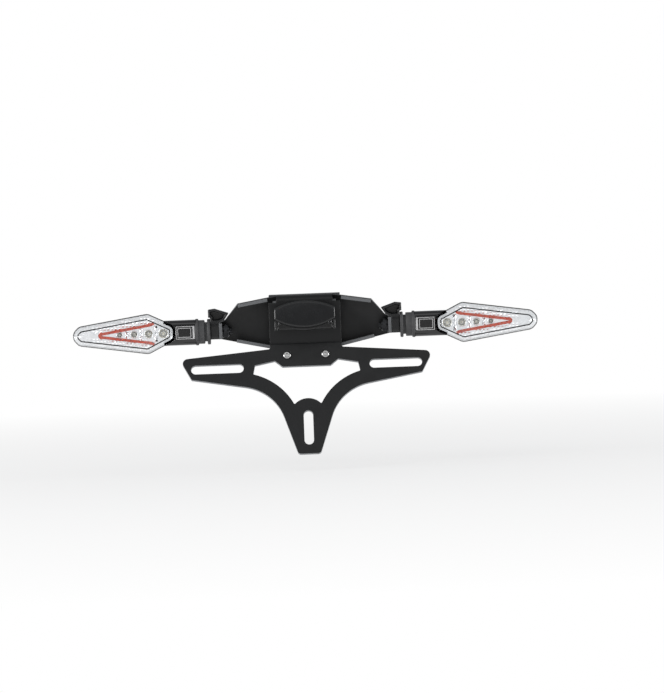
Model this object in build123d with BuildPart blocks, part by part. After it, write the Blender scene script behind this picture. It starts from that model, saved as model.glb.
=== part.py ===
from build123d import *
import math
import os

# Motorcycle tail tidy, in millimetres, seen from behind the machine: +X right, +Y forward, +Z up.
# The origin is the centre of the four fixing holes, on the top face of the hanger's flange.
os.makedirs("parts", exist_ok=True)

# Sheet metal
sheet = 2.5
bend = 2.5
plate_sheet = 3.0
fit_gap = 0.1
screw_clearance = 0.25
screw_end = 1.0

# Hanger
hanger_width = 56.0
flange_front = 23.0
panel_set_back = 42.0
panel_drop = 38.4
plate_lean = 22.0
lip_length = 17.5
lip_corner = 8.0
tab_half = 22.0
tab_width = 16.0
tab_drop = 40.0
tab_gap = 2.0
shoulder_drop = 5.6
fixing_pitch_x = 38.0
fixing_pitch_y = 26.0
fixing_hole = 6.5

# Number plate bracket, drawn in its own leaning plane from the middle of its two screws
fold_to_screws = 10.3
screw_pitch = 30.0
block_top = 9.6
wing_root = 5.9
wing_reach = 98.8
wing_fall = 6.1
wing_foot_in = 8.8
wing_foot = 17.2
wing_rise = 10.2
valley_x = 25.9
valley_radius = 38.0
tongue_half = 8.7
tongue_drop = 81.4
tongue_radius = 2.8
corner_radius = 4.0
edge_radius = 1.5
band = 11.4
dome_band = 10.1
slot_width = 7.3
wing_slot_end = 8.7
wing_slot_start = 8.9
wing_slot_drop = 9.1
tongue_slot_length = 28.1
tongue_slot_drop = 60.0
tab_foot_half = 18.8
tab_foot = 9.0
tab_root_half = 24.7
tab_root = 4.0
cutout_half = 40.2
cutout_top = 7.1
cutout_foot_half = 42.5
cutout_foot = 18.0

# Plate screws
plate_thread = 4.0
plate_head = 6.4
plate_crown = 2.1
plate_socket = 2.5
plate_nut_flats = 7.0
plate_nut_height = 4.6
washer_sheet = 0.8
plate_washer = 9.0

# Plate light
light_width = 47.4
light_side = 8.6
light_crown = 5.7
light_belly = 6.8
light_drop = 14.0
light_depth = 16.0
light_lean = 10.0
light_wall = 2.4
light_roof = 2.6
light_leg_drop = 27.0
light_leg_depth = 11.0
light_edge = 1.2
gasket = 1.0
light_screw_pitch = 24.0
light_screw_drop = 13.0
light_thread = 4.0
light_screw_bite = 8.0
light_head = 7.0
light_head_height = 2.4
lamp_lens_drop = 4.0
lamp_lens_sheet = 1.6
board_sheet = 1.2
light_board_length = 38.0
light_board_width = 8.0
chip = 2.2
chip_height = 0.9
light_chips = 4
light_chip_pitch = 9.0
lead_hole = 3.2

# Indicator arms
arm_depth = 14.0
arm_gap = 0.5
arm_reach = 67.5
arm_foot = 42.4
arm_top = 0.8
arm_end = 12.4
arm_shoulder_x = 52.3
arm_shoulder_drop = 5.7
arm_neck_in = 5.0
arm_neck_rise = 2.0
crease_x = 58.0
crease_drop = 23.5
crease_slope = 23.3
crease_lean = 15.0
spanner_gap = 11.0
fold_relief = 3.5
lip_gap = 1.1
arm_thread = 5.0
arm_head = 9.5
arm_crown = 2.7
arm_socket = 3.0
arm_nut_flats = 8.0
arm_nut_height = 5.0
arm_screw_high = 15.0
arm_screw_low = 33.0

# Indicator stem, washer, nut, adaptor and boot
stem_drop = 26.2
stem_set = 7.5
stem_thread = 6.0
stem_bore = 3.2
stem_out = 57.5
stem_bite = 14.0
stem_washer = 11.0
stem_nut_flats = 10.0
stem_nut_height = 5.0
adaptor_length = 6.8
adaptor_block = 12.4
ear_depth = 12.0
ear_wall = 1.8
ear_in = 7.9
ear_root = 7.8
ear_top = 11.6
ear_out = 1.4
ear_bevel = 3.6
ear_gap = 0.6
ear_radius = 0.5
boot_length = 11.7
boot_radius = 10.4
boot_waist = 9.3
boot_neck = 7.6
boot_rim = 2.4
boot_step = 0.4
boot_groove = 2.0

# Indicator body and lens, along X from the stem's axis
stalk_height = 19.6
stalk_depth = 16.0
stalk_radius = 4.2
stalk_length = 15.8
tile_length = 14.6
tile_height = 10.0
tile_sheet = 0.8
tile_sunk = 0.2
lens_length = 80.2
lens_root = 5.5
lens_apex = 21.2
lens_half = 15.9
lens_shoulder = 4.6
lens_shoulder_half = 7.7
lens_tip_half = 3.0
lens_depth = 9.5
lens_wall = 1.2
lens_taper = 23.0
lens_radius = 6.4
lens_root_radius = 5.8
lens_edge = 1.0
part_line = 1.5
body_depth = 11.0
body_taper = 26.0
body_pocket = 5.2
body_rim = 2.0
reflector_sheet = 3.4
cups = 4
cup_first = 9.4
cup_pitch = 11.4
cup_radius = 3.6
cup_shrink = 0.55
cup_foot = 0.55
ridge_width = 2.4
ridge_rise = 1.4
ridge_gap = 0.3
tip_length = 14.0
tip_fall = 2.7
guide_tip = 60.3
guide_tip_half = 1.9
guide_root = 19.0
guide_half = 8.2
guide_hook = 17.2
guide_hook_half = 9.3
guide_width = 2.2
guide_height = 1.6
lamp_board_width = 7.4

# Shared positions that follow from the sizes above
sin_lean = math.sin(math.radians(plate_lean))
cos_lean = math.cos(math.radians(plate_lean))
panel_rear = -panel_set_back
panel_front = panel_rear + sheet
tab_rear = panel_front + tab_gap
tab_front = tab_rear + tab_width
lip_face = Plane(
    origin=(0, panel_rear - fold_to_screws * sin_lean, -panel_drop - fold_to_screws * cos_lean),
    x_dir=(1, 0, 0),
    z_dir=(0, -cos_lean, sin_lean),
)
plate_face = lip_face.offset(plate_sheet)
plate_screws_at = [(-screw_pitch / 2, 0), (screw_pitch / 2, 0)]
wing_foot_x = wing_reach - wing_foot_in
wing_slot_from = cutout_half + wing_slot_start
wing_slot_to = wing_reach - wing_slot_end
wing_slot_length = wing_slot_to - wing_slot_from
wing_slot_x = (wing_slot_from + wing_slot_to) / 2
light_base = panel_rear - gasket
light_roof_z = -light_drop - light_roof
light_screws_at = [(-light_screw_pitch / 2, -light_screw_drop), (light_screw_pitch / 2, -light_screw_drop)]
lead_at = (0, light_roof_z - lamp_lens_drop / 2)
web_rear = panel_front + arm_gap + arm_depth
arm_screw_y = web_rear - arm_depth / 2
arm_screws_at = [(arm_screw_y, -arm_screw_high), (arm_screw_y, -arm_screw_low)]
stem_y = web_rear - stem_set
stem_z = -stem_drop
boot_x = arm_reach + adaptor_length
stalk_x = boot_x + boot_length
lens_x = stalk_x + stalk_length
part_y = stem_y - part_line
lens_face = Plane(origin=(lens_x, part_y, stem_z), x_dir=(1, 0, 0), z_dir=(0, -1, 0))
body_face = Plane(origin=(lens_x, part_y, stem_z), x_dir=(1, 0, 0), z_dir=(0, 1, 0))
reflector_top = lens_face.offset(reflector_sheet)
lamp_section = Plane(origin=(lens_x, part_y, stem_z), x_dir=(1, 0, 0), z_dir=(0, 0, -1))
stalk_rear = stem_y - stalk_depth / 2
tile_x = stalk_x + stalk_length / 2
tile_face = Plane(origin=(tile_x, stalk_rear, stem_z), x_dir=(1, 0, 0), z_dir=(0, -1, 0))


def across(x):
    """Plane square to the indicator's stem at a distance x from the middle."""
    return Plane(origin=(x, stem_y, stem_z), x_dir=(0, 1, 0), z_dir=(1, 0, 0))


def stations(plane, spots):
    """Planes at the given spots of one plane."""
    return [plane * Pos(x, y, 0) for x, y in spots]


def save(piece, label):
    """Labels a piece and writes its file."""
    piece.part.label = label
    export_step(piece.part, f"parts/{label}.step")


def save_pair(piece, name):
    """Writes the right-hand piece and its mirror image."""
    with BuildPart() as twin:
        mirror(piece.part, about=Plane.YZ)
    save(piece, f"right_{name}")
    save(twin, f"left_{name}")


def button_screw(thread, length, head, crown, socket):
    """Button-head socket screw along Z, its head resting on Z = 0."""
    with BuildPart() as screw:
        with BuildSketch(Plane.XZ):
            with BuildLine():
                Polyline((0, crown), (0, -length), (thread / 2, -length), (thread / 2, 0), (head / 2, 0))
                Line((head / 2, 0), (head / 2, 0.15 * crown))
                RadiusArc((head / 2, 0.15 * crown), (0.3 * head, crown), -0.55 * head)
                Line((0.3 * head, crown), (0, crown))
            make_face()
        revolve(axis=Axis.Z)
        with BuildSketch(Plane.XY.offset(crown)):
            RegularPolygon(socket / 2, 6, major_radius=False)
        extrude(amount=-0.6 * crown, mode=Mode.SUBTRACT)
    return screw.part


def lock_nut(thread, flats, height):
    """Self-locking nut along Z, standing on Z = 0."""
    with BuildPart() as nut:
        with BuildSketch():
            RegularPolygon(flats / 2, 6, major_radius=False)
        extrude(amount=0.72 * height)
        with BuildSketch(Plane.XY.offset(0.72 * height)):
            Circle(0.44 * flats)
        extrude(amount=0.28 * height)
        with BuildSketch():
            Circle(thread / 2 + fit_gap)
        extrude(amount=height, mode=Mode.SUBTRACT)
    return nut.part


def kite(inset):
    """Lens outline in its own plane, drawn in by an inset."""
    half = [
        (0, lens_root),
        (lens_apex, lens_half),
        (lens_length - lens_shoulder, lens_shoulder_half),
        (lens_length, lens_tip_half),
    ]
    outline = half + [(x, -z) for x, z in reversed(half)]
    radii = [lens_root_radius, lens_radius, lens_radius, lens_radius]
    with BuildSketch() as shape:
        with BuildLine():
            FilletPolyline(*outline, radius=radii + radii[::-1], close=True)
        make_face()
        if inset:
            offset(amount=-inset)
    return shape.sketch


# Hanger: a strip folded down at the flange and back at the lip, with two tabs folded down from its sides
strip_points = [
    (flange_front, 0),
    (panel_rear, 0),
    (panel_rear, -panel_drop),
    (panel_rear - lip_length * sin_lean, -panel_drop - lip_length * cos_lean),
]
with BuildPart() as main_bracket:
    with BuildSketch(Plane.YZ):
        with BuildLine():
            FilletPolyline(*strip_points, radius=(bend + sheet, bend))
            offset(amount=sheet, side=Side.LEFT)
        make_face()
    extrude(amount=hanger_width / 2, both=True)
    lip_end = main_bracket.faces().sort_by(Axis.Z)[0]
    chamfer(lip_end.edges().filter_by(Axis.X, reverse=True), length=lip_corner)
    fillet(main_bracket.faces().sort_by(Axis.Y)[-1].edges().filter_by(Axis.Z), radius=corner_radius)
    waist = (hanger_width - 2 * tab_half) / 2
    waist_length = tab_front + tab_gap - panel_rear
    with BuildSketch(Plane.XY):
        for side in (-1, 1):
            with Locations((side * (tab_half + waist / 2), panel_rear + waist_length / 2)):
                Rectangle(waist, waist_length)
    extrude(amount=-shoulder_drop, mode=Mode.SUBTRACT)
    with BuildSketch(Plane.XZ.offset(-tab_front)):
        with BuildLine():
            FilletPolyline((0, 0), (tab_half, 0), (tab_half, -tab_drop), radius=bend + sheet)
            offset(amount=sheet, side=Side.RIGHT)
        make_face()
        mirror(about=Plane.YZ)
    extrude(amount=tab_width)
    tab_feet = main_bracket.edges().filter_by(Axis.X).filter_by(
        lambda edge: abs(edge.center().Z + tab_drop) < 0.01 and abs(edge.center().X) > tab_half - sheet
    )
    fillet(tab_feet, radius=corner_radius)
    with BuildSketch(Plane.XY):
        with GridLocations(fixing_pitch_x, fixing_pitch_y, 2, 2):
            Circle(fixing_hole / 2)
    extrude(amount=-sheet, mode=Mode.SUBTRACT)
    with BuildSketch(Plane.XZ.offset(-panel_front)):
        with Locations(*light_screws_at):
            Circle(light_thread / 2 + screw_clearance)
        with Locations(lead_at):
            Circle(lead_hole / 2)
    extrude(amount=sheet, mode=Mode.SUBTRACT)
    with BuildSketch(Plane.YZ):
        with Locations(*arm_screws_at):
            Circle(arm_thread / 2 + screw_clearance)
    extrude(amount=hanger_width / 2, both=True, mode=Mode.SUBTRACT)
    with BuildSketch(lip_face):
        with Locations(*plate_screws_at):
            Circle(plate_thread / 2 + screw_clearance)
    extrude(amount=-sheet, mode=Mode.SUBTRACT)
save(main_bracket, "main_bracket")

# Number plate bracket: wings and tongue with an even band round the valleys and slots
right_half = [
    (hanger_width / 2, block_top),
    (hanger_width / 2, wing_root),
    (wing_reach, wing_root - wing_fall),
    (wing_foot_x, -wing_foot),
    (valley_x, -wing_foot - (wing_foot_x - valley_x) * math.tan(math.radians(wing_rise))),
    (tongue_half, -tongue_drop),
]
right_radii = [edge_radius, edge_radius, corner_radius, edge_radius, valley_radius, tongue_radius]
left_half = [(-x, y) for x, y in reversed(right_half)]
tongue_slot_end = -tongue_slot_drop + (tongue_slot_length - slot_width) / 2
with BuildPart() as number_plate_bracket:
    with BuildSketch(lip_face) as plate_outline:
        with BuildLine():
            FilletPolyline(*right_half, *left_half, radius=right_radii + right_radii[::-1], close=True)
        make_face()
        valleys = plate_outline.edges().filter_by(GeomType.CIRCLE).sort_by(SortBy.RADIUS)[-2:]
        with Locations(*[(side * wing_slot_x, -wing_slot_drop) for side in (-1, 1)]):
            SlotOverall(wing_slot_length, slot_width, mode=Mode.SUBTRACT)
        with Locations((0, -tongue_slot_drop)):
            SlotOverall(tongue_slot_length, slot_width, rotation=90, mode=Mode.SUBTRACT)
        with Locations(*plate_screws_at):
            Circle(plate_thread / 2 + screw_clearance, mode=Mode.SUBTRACT)
    extrude(amount=plate_sheet)
    valley_spots = [valley.arc_center for valley in valleys]
    opening_half = [
        (tab_foot_half, -tab_foot),
        (tab_root_half, -tab_root),
        (cutout_half, -cutout_top),
        (cutout_foot_half, -cutout_foot),
        (dome_band, tongue_slot_end),
    ]
    opening = opening_half + [(-x, y) for x, y in reversed(opening_half)]
    with BuildSketch(lip_face) as cutout:
        with BuildLine():
            Polyline(*opening, close=True)
        make_face()
        with Locations(*[(spot.X, spot.Y) for spot in valley_spots]):
            Circle(valley_radius + band, mode=Mode.SUBTRACT)
        with Locations((0, tongue_slot_end)):
            Circle(slot_width / 2 + dome_band, mode=Mode.SUBTRACT)
        fillet(cutout.vertices(), radius=edge_radius / 2)
    extrude(amount=plate_sheet, mode=Mode.SUBTRACT)
save(number_plate_bracket, "number_plate_bracket")

# Two screws with washers and self-locking nuts hold the bracket to the lip
plate_stack = plate_sheet + sheet + washer_sheet
with BuildPart() as plate_screws:
    with Locations(*stations(plate_face, plate_screws_at)):
        add(button_screw(plate_thread, plate_stack + plate_nut_height + screw_end, plate_head, plate_crown, plate_socket))
save(plate_screws, "plate_screws")
with BuildPart() as plate_washers:
    with BuildSketch(lip_face.offset(-sheet)):
        with Locations(*plate_screws_at):
            Circle(plate_washer / 2)
            Circle(plate_thread / 2 + screw_clearance, mode=Mode.SUBTRACT)
    extrude(amount=-washer_sheet)
save(plate_washers, "plate_washers")
with BuildPart() as plate_nuts:
    with Locations(*stations(-lip_face.offset(-sheet - washer_sheet), plate_screws_at)):
        add(lock_nut(plate_thread, plate_nut_flats, plate_nut_height))
save(plate_nuts, "plate_nuts")

# Plate light: an oval-faced hood, hollow from below, on a thin gasket
light_half = light_width / 2
light_plane = Plane(
    origin=(0, light_base - light_depth, -light_drop),
    x_dir=(1, 0, 0),
    z_dir=(0, -math.cos(math.radians(light_lean)), math.sin(math.radians(light_lean))),
)
base_plane = Plane(origin=(0, light_base, 0), x_dir=(1, 0, 0), z_dir=(0, -1, 0))
pocket_half = light_half - light_wall
pocket_near = light_base - light_wall
pocket_far = light_base - light_depth + light_wall
pocket_mid = (pocket_near + pocket_far) / 2
pocket_depth = pocket_near - pocket_far
with BuildPart() as plate_light_hood:
    with BuildSketch(light_plane):
        with BuildLine():
            Line((light_half, -light_side / 2), (light_half, light_side / 2))
            ThreePointArc(
                (light_half, light_side / 2),
                (0, light_side / 2 + light_crown),
                (-light_half, light_side / 2),
            )
            Line((-light_half, light_side / 2), (-light_half, -light_side / 2))
            ThreePointArc(
                (-light_half, -light_side / 2),
                (0, -light_side / 2 - light_belly),
                (light_half, -light_side / 2),
            )
        make_face()
    extrude(amount=-2 * light_depth)
    split(bisect_by=base_plane, keep=Keep.TOP)
    fillet(plate_light_hood.faces().sort_by(Axis.Y)[0].edges(), radius=light_edge)
    with BuildSketch(base_plane):
        with Locations((0, (-light_drop - light_leg_drop) / 2)):
            Rectangle(light_width, light_leg_drop - light_drop)
    extrude(amount=light_leg_depth)
    with BuildSketch(Plane.XY.offset(light_roof_z)):
        with Locations((0, pocket_mid)):
            RectangleRounded(2 * pocket_half, pocket_depth, edge_radius)
    extrude(amount=-2 * light_leg_drop, mode=Mode.SUBTRACT)
    with BuildSketch(base_plane):
        with Locations(*light_screws_at):
            Circle(light_thread / 2 + fit_gap)
    extrude(amount=light_screw_bite, mode=Mode.SUBTRACT)
    with BuildSketch(base_plane):
        with Locations(lead_at):
            Circle(lead_hole / 2)
    extrude(amount=light_wall, mode=Mode.SUBTRACT)
save(plate_light_hood, "plate_light_hood")
hood_foot = plate_light_hood.faces().filter_by(Plane.XZ).sort_by(Axis.Y)[-1]
with BuildPart() as plate_light_gasket:
    extrude(hood_foot, amount=gasket, dir=(0, 1, 0))
save(plate_light_gasket, "plate_light_gasket")
with BuildPart() as plate_light_lens:
    with BuildSketch(Plane.XY.offset(light_roof_z - lamp_lens_drop)):
        with Locations((0, pocket_mid)):
            RectangleRounded(2 * pocket_half - 2 * fit_gap, pocket_depth - 2 * fit_gap, edge_radius)
    extrude(amount=-lamp_lens_sheet)
save(plate_light_lens, "plate_light_lens")
with BuildPart() as plate_light_board:
    with BuildSketch(Plane.XY.offset(light_roof_z)):
        with Locations((0, pocket_mid)):
            Rectangle(light_board_length, light_board_width)
    extrude(amount=-board_sheet)
save(plate_light_board, "plate_light_board")
with BuildPart() as plate_light_leds:
    with BuildSketch(Plane.XY.offset(light_roof_z - board_sheet)):
        with Locations((0, pocket_mid)):
            with GridLocations(light_chip_pitch, 1, light_chips, 1):
                Rectangle(chip, chip)
    extrude(amount=-chip_height)
save(plate_light_leds, "plate_light_leds")
with BuildPart() as plate_light_screws:
    with BuildSketch(Plane.XZ.offset(-panel_front)):
        with Locations(*light_screws_at):
            Circle(light_thread / 2)
    extrude(amount=sheet + gasket + light_screw_bite - fit_gap)
    with BuildSketch(Plane.XZ.offset(-panel_front - light_head_height)):
        with Locations(*light_screws_at):
            Circle(light_head / 2)
    extrude(amount=light_head_height)
save(plate_light_screws, "plate_light_screws")

# Indicator arm: a creased web with folded edges, open to the rear
arm_inner_foot = (tab_half, -arm_foot)
arm_outer_foot = (arm_reach, stem_z - arm_end / 2)
arm_outer_top = (arm_reach, stem_z + arm_end / 2)
arm_neck = (arm_reach - arm_neck_in, stem_z + arm_end / 2 + arm_neck_rise)
arm_shoulder = (arm_shoulder_x, -arm_shoulder_drop)
arm_inner_top = (tab_half, -arm_top)
foot_slope = (arm_outer_foot[1] - arm_inner_foot[1]) / (arm_reach - tab_half)
top_slope = (arm_shoulder[1] - arm_inner_top[1]) / (arm_shoulder_x - tab_half)
crease_fall = math.tan(math.radians(crease_slope))


def crease_at(x):
    """Point of the crease at a distance x from the middle."""
    return (x, -crease_drop - (x - crease_x) * crease_fall)


def on_foot(x):
    """Point of the arm's lower edge at a distance x from the middle."""
    return (x, arm_inner_foot[1] + (x - tab_half) * foot_slope)


def on_top(x):
    """Point of the arm's upper edge at a distance x from the middle."""
    return (x, arm_inner_top[1] + (x - tab_half) * top_slope)


crease_vector = Vector(math.cos(math.radians(crease_slope)), 0, -math.sin(math.radians(crease_slope)))
crease_origin = Vector(crease_x, web_rear, -crease_drop)
upper_normal = Vector(0, -1, 0).rotate(Axis((0, 0, 0), crease_vector), crease_lean)
upper_web = Plane(origin=crease_origin, x_dir=crease_vector, z_dir=upper_normal)
lower_web = Plane(origin=(0, web_rear, 0), x_dir=(1, 0, 0), z_dir=(0, -1, 0))


def on_upper(point):
    """Spot of the leaning upper web that lies straight ahead of a point of the lower web's plane."""
    along = (point[0] - crease_x) * crease_vector.X + (point[1] + crease_drop) * crease_vector.Z
    off = (point[1] + crease_drop) * crease_vector.X - (point[0] - crease_x) * crease_vector.Z
    return (along, off / math.cos(math.radians(crease_lean)))


crease_in = crease_at(tab_half)
crease_out = crease_at(arm_reach)
crease_lap = sheet * math.tan(math.radians(crease_lean)) / crease_vector.X
lapped_crease = [(x, z + crease_lap) for x, z in (crease_out, crease_in)]
lower_outline = [arm_inner_foot, arm_outer_foot, *lapped_crease]
upper_outline = [crease_in, crease_out, arm_outer_top, arm_neck, arm_shoulder, arm_inner_top]
stem_clear = arm_reach - sheet - spanner_gap
arm_folds = [
    (on_top(arm_shoulder_x), on_top(hanger_width / 2 + lip_gap)),
    ((tab_half, -arm_top - fold_relief), (tab_half, -arm_foot + fold_relief)),
    (on_foot(tab_half + fold_relief), on_foot(stem_clear)),
    (arm_outer_foot, arm_outer_top),
]
with BuildPart() as right_arm:
    with BuildSketch(lower_web):
        with BuildLine():
            Polyline(*lower_outline, close=True)
        make_face()
    extrude(amount=-sheet)
    for fold_start, fold_end in arm_folds:
        with BuildSketch(lower_web):
            with BuildLine():
                Line(fold_start, fold_end)
                offset(amount=sheet, side=Side.LEFT)
            make_face()
        extrude(amount=arm_depth)
    split(bisect_by=upper_web, keep=Keep.TOP, mode=Mode.REPLACE)
    with BuildSketch(upper_web):
        with BuildLine():
            Polyline(*[on_upper(point) for point in upper_outline], close=True)
        make_face()
    extrude(amount=-sheet)
    with BuildSketch(lower_web):
        with BuildLine():
            Polyline(*lower_outline, close=True)
        make_face()
    extrude(amount=-sheet)
    split(bisect_by=Plane.YZ.offset(tab_half), keep=Keep.TOP, mode=Mode.REPLACE)
    split(bisect_by=Plane.YZ.offset(arm_reach), keep=Keep.BOTTOM, mode=Mode.REPLACE)
    with BuildSketch(Plane.YZ.offset(tab_half)):
        with Locations(*arm_screws_at):
            Circle(arm_thread / 2 + screw_clearance)
    extrude(amount=sheet, mode=Mode.SUBTRACT)
    with BuildSketch(across(arm_reach)):
        Circle(stem_thread / 2 + screw_clearance)
    extrude(amount=-sheet, mode=Mode.SUBTRACT)
save_pair(right_arm, "arm")

# Screws and nuts hold each arm to its tab
arm_seat = Plane.YZ.offset(tab_half + sheet)
with BuildPart() as arm_screws:
    with Locations(*stations(arm_seat, arm_screws_at)):
        add(button_screw(arm_thread, 2 * sheet + arm_nut_height + screw_end, arm_head, arm_crown, arm_socket))
    mirror(about=Plane.YZ)
save(arm_screws, "arm_screws")
nut_seat = Plane(origin=(tab_half - sheet, 0, 0), x_dir=(0, 1, 0), z_dir=(-1, 0, 0))
with BuildPart() as arm_nuts:
    with Locations(*stations(nut_seat, [(y, -z) for y, z in arm_screws_at])):
        add(lock_nut(arm_thread, arm_nut_flats, arm_nut_height))
    mirror(about=Plane.YZ)
save(arm_nuts, "arm_nuts")

# Adaptor: a block on the arm's end with an open pocket above it
ear_foot = stem_z + arm_end / 2
ear_outline = [
    (arm_reach, ear_foot + ear_gap),
    (arm_neck[0] + ear_gap, arm_neck[1] + ear_gap),
    (arm_reach - ear_in, ear_foot + ear_root),
    (boot_x - ear_bevel, ear_foot + ear_top),
    (boot_x + ear_out, ear_foot + ear_top - ear_gap),
    (boot_x + ear_out, stem_z + boot_radius + ear_gap),
    (boot_x, stem_z + boot_radius + ear_gap),
    (boot_x, ear_foot + ear_gap),
]
ear_plane = Plane(origin=(0, stem_y - ear_depth / 2, 0), x_dir=(1, 0, 0), z_dir=(0, -1, 0))
with BuildPart() as right_adaptor:
    with BuildSketch(across(arm_reach)):
        RectangleRounded(adaptor_block, adaptor_block, edge_radius)
    extrude(amount=adaptor_length)
    with BuildSketch(ear_plane) as ear:
        with BuildLine():
            FilletPolyline(*ear_outline, radius=ear_radius, close=True)
        make_face()
    extrude(amount=-ear_depth)
    with BuildSketch(across(arm_reach)):
        with Locations((0, adaptor_block / 2)):
            Rectangle(ear_depth, ear_wall)
    extrude(amount=adaptor_length)
    with BuildSketch(ear_plane):
        add(ear.sketch_local)
        offset(amount=-ear_wall)
    extrude(amount=-ear_depth + ear_wall, mode=Mode.SUBTRACT)
    with BuildSketch(across(arm_reach)):
        Circle(stem_thread / 2 + fit_gap)
    extrude(amount=adaptor_length, mode=Mode.SUBTRACT)
save_pair(right_adaptor, "adaptor")

# Boot, stem, washer and nut on one axis
stem_axis = Axis((0, stem_y, stem_z), (1, 0, 0))
stem_side = Plane(origin=(0, stem_y, stem_z), x_dir=(1, 0, 0), z_dir=(0, -1, 0))
boot_inner = stem_thread / 2 + fit_gap
boot_low = boot_radius - boot_step
boot_outline = [
    (boot_x, boot_inner),
    (boot_x, boot_low - boot_step),
    (boot_x + boot_step, boot_low),
    (boot_x + boot_rim - boot_step, boot_low),
    (boot_x + boot_rim, boot_low - boot_step),
    (boot_x + boot_rim, boot_neck),
    (boot_x + boot_rim + boot_groove, boot_neck),
    (boot_x + boot_rim + boot_groove, boot_waist - boot_step),
    (boot_x + boot_rim + boot_groove + boot_step, boot_waist),
    (stalk_x - boot_rim, boot_waist),
    (stalk_x - boot_rim, boot_radius - boot_step),
    (stalk_x - boot_rim + boot_step, boot_radius),
    (stalk_x - boot_step, boot_radius),
    (stalk_x, boot_radius - boot_step),
    (stalk_x, boot_inner),
]
with BuildPart() as right_boot:
    with BuildSketch(stem_side):
        with BuildLine():
            Polyline(*boot_outline, close=True)
        make_face()
    revolve(axis=stem_axis)
save_pair(right_boot, "boot")
with BuildPart() as right_stem:
    with BuildSketch(across(stem_out)):
        Circle(stem_thread / 2)
        Circle(stem_bore / 2, mode=Mode.SUBTRACT)
    extrude(amount=stalk_x + stem_bite - stem_out)
save_pair(right_stem, "stem")
with BuildPart() as right_stem_washer:
    with BuildSketch(across(arm_reach - sheet)):
        Circle(stem_washer / 2)
        Circle(stem_thread / 2 + fit_gap, mode=Mode.SUBTRACT)
    extrude(amount=-washer_sheet)
save_pair(right_stem_washer, "stem_washer")
with BuildPart() as right_stem_nut:
    with Locations(-across(arm_reach - sheet - washer_sheet)):
        add(lock_nut(stem_thread, stem_nut_flats, stem_nut_height))
save_pair(right_stem_nut, "stem_nut")

# Indicator body: a tapering shell behind the lens that narrows to the stalk
stalk_end = lens_apex * (stalk_height / 2 - lens_root) / (lens_half - lens_root)
with BuildPart() as right_indicator_body:
    with BuildSketch(across(stalk_x)):
        RectangleRounded(stalk_depth, stalk_height, stalk_radius)
    extrude(amount=stalk_length + stalk_end)
    with BuildSketch(lens_face):
        add(kite(-fit_gap))
    extrude(amount=stalk_depth, mode=Mode.SUBTRACT)
    with BuildSketch(body_face):
        add(kite(0))
    extrude(amount=body_depth, taper=body_taper)
    with BuildSketch(body_face):
        add(kite(lens_wall + body_rim))
    extrude(amount=body_pocket, taper=body_taper, mode=Mode.SUBTRACT)
    with BuildSketch(across(stalk_x)):
        Circle(stem_thread / 2 + fit_gap)
    extrude(amount=stem_bite + fit_gap, mode=Mode.SUBTRACT)
    with BuildSketch(tile_face):
        Rectangle(tile_length + 2 * fit_gap, tile_height + 2 * fit_gap)
    extrude(amount=-tile_sheet - tile_sunk, mode=Mode.SUBTRACT)
save_pair(right_indicator_body, "indicator_body")
with BuildPart() as right_badge_tile:
    with BuildSketch(tile_face.offset(-tile_sunk)):
        RectangleRounded(tile_length, tile_height, edge_radius / 2)
    extrude(amount=-tile_sheet)
save_pair(right_badge_tile, "badge_tile")

# Lens: a tapering clear shell, closed by the body
with BuildPart() as right_lens:
    with BuildSketch(lens_face):
        add(kite(0))
    extrude(amount=lens_depth, taper=lens_taper)
    fillet(right_lens.faces().sort_by(Axis.Y)[0].edges(), radius=lens_edge)
    with BuildSketch(lens_face):
        add(kite(lens_wall))
    extrude(amount=lens_depth - lens_wall, taper=lens_taper, mode=Mode.SUBTRACT)
save_pair(right_lens, "lens")

# Reflector with cups that narrow towards the tip, a cross ridge between each two and a tip that falls away
cup_list = [(cup_first + step * cup_pitch, cup_radius - step * cup_shrink) for step in range(cups)]
guide_rise = (guide_half - guide_tip_half) / (guide_tip - guide_root)
guide_strip = guide_width * math.hypot(1, guide_rise)
ridge_list = []
for step in range(cups - 1):
    ridge_x = cup_first + (step + 0.5) * cup_pitch
    guide_inner = guide_tip_half + (guide_tip - ridge_x) * guide_rise - guide_strip
    ridge_list.append((ridge_x, guide_inner - ridge_gap))
with BuildPart() as right_reflector:
    with BuildSketch(lens_face):
        add(kite(lens_wall + fit_gap))
    extrude(amount=reflector_sheet, taper=lens_taper)
    for cup_x, cup_r in cup_list:
        with Locations(reflector_top * Pos(cup_x, 0, 0)):
            Cone(
                cup_foot * cup_r,
                cup_r,
                reflector_sheet,
                align=(Align.CENTER, Align.CENTER, Align.MAX),
                mode=Mode.SUBTRACT,
            )
    for ridge_x, ridge_half in ridge_list:
        with BuildSketch(lamp_section):
            with BuildLine():
                Polyline(
                    (ridge_x - ridge_width / 2, reflector_sheet),
                    (ridge_x + ridge_width / 2, reflector_sheet),
                    (ridge_x, reflector_sheet + ridge_rise),
                    close=True,
                )
            make_face()
        extrude(amount=ridge_half, both=True)
    with BuildSketch(lamp_section):
        with BuildLine():
            Polyline(
                (lens_length - tip_length, reflector_sheet),
                (lens_length, reflector_sheet),
                (lens_length, reflector_sheet - tip_fall),
                close=True,
            )
        make_face()
    extrude(amount=lens_half, both=True, mode=Mode.SUBTRACT)
save_pair(right_reflector, "reflector")

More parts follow.
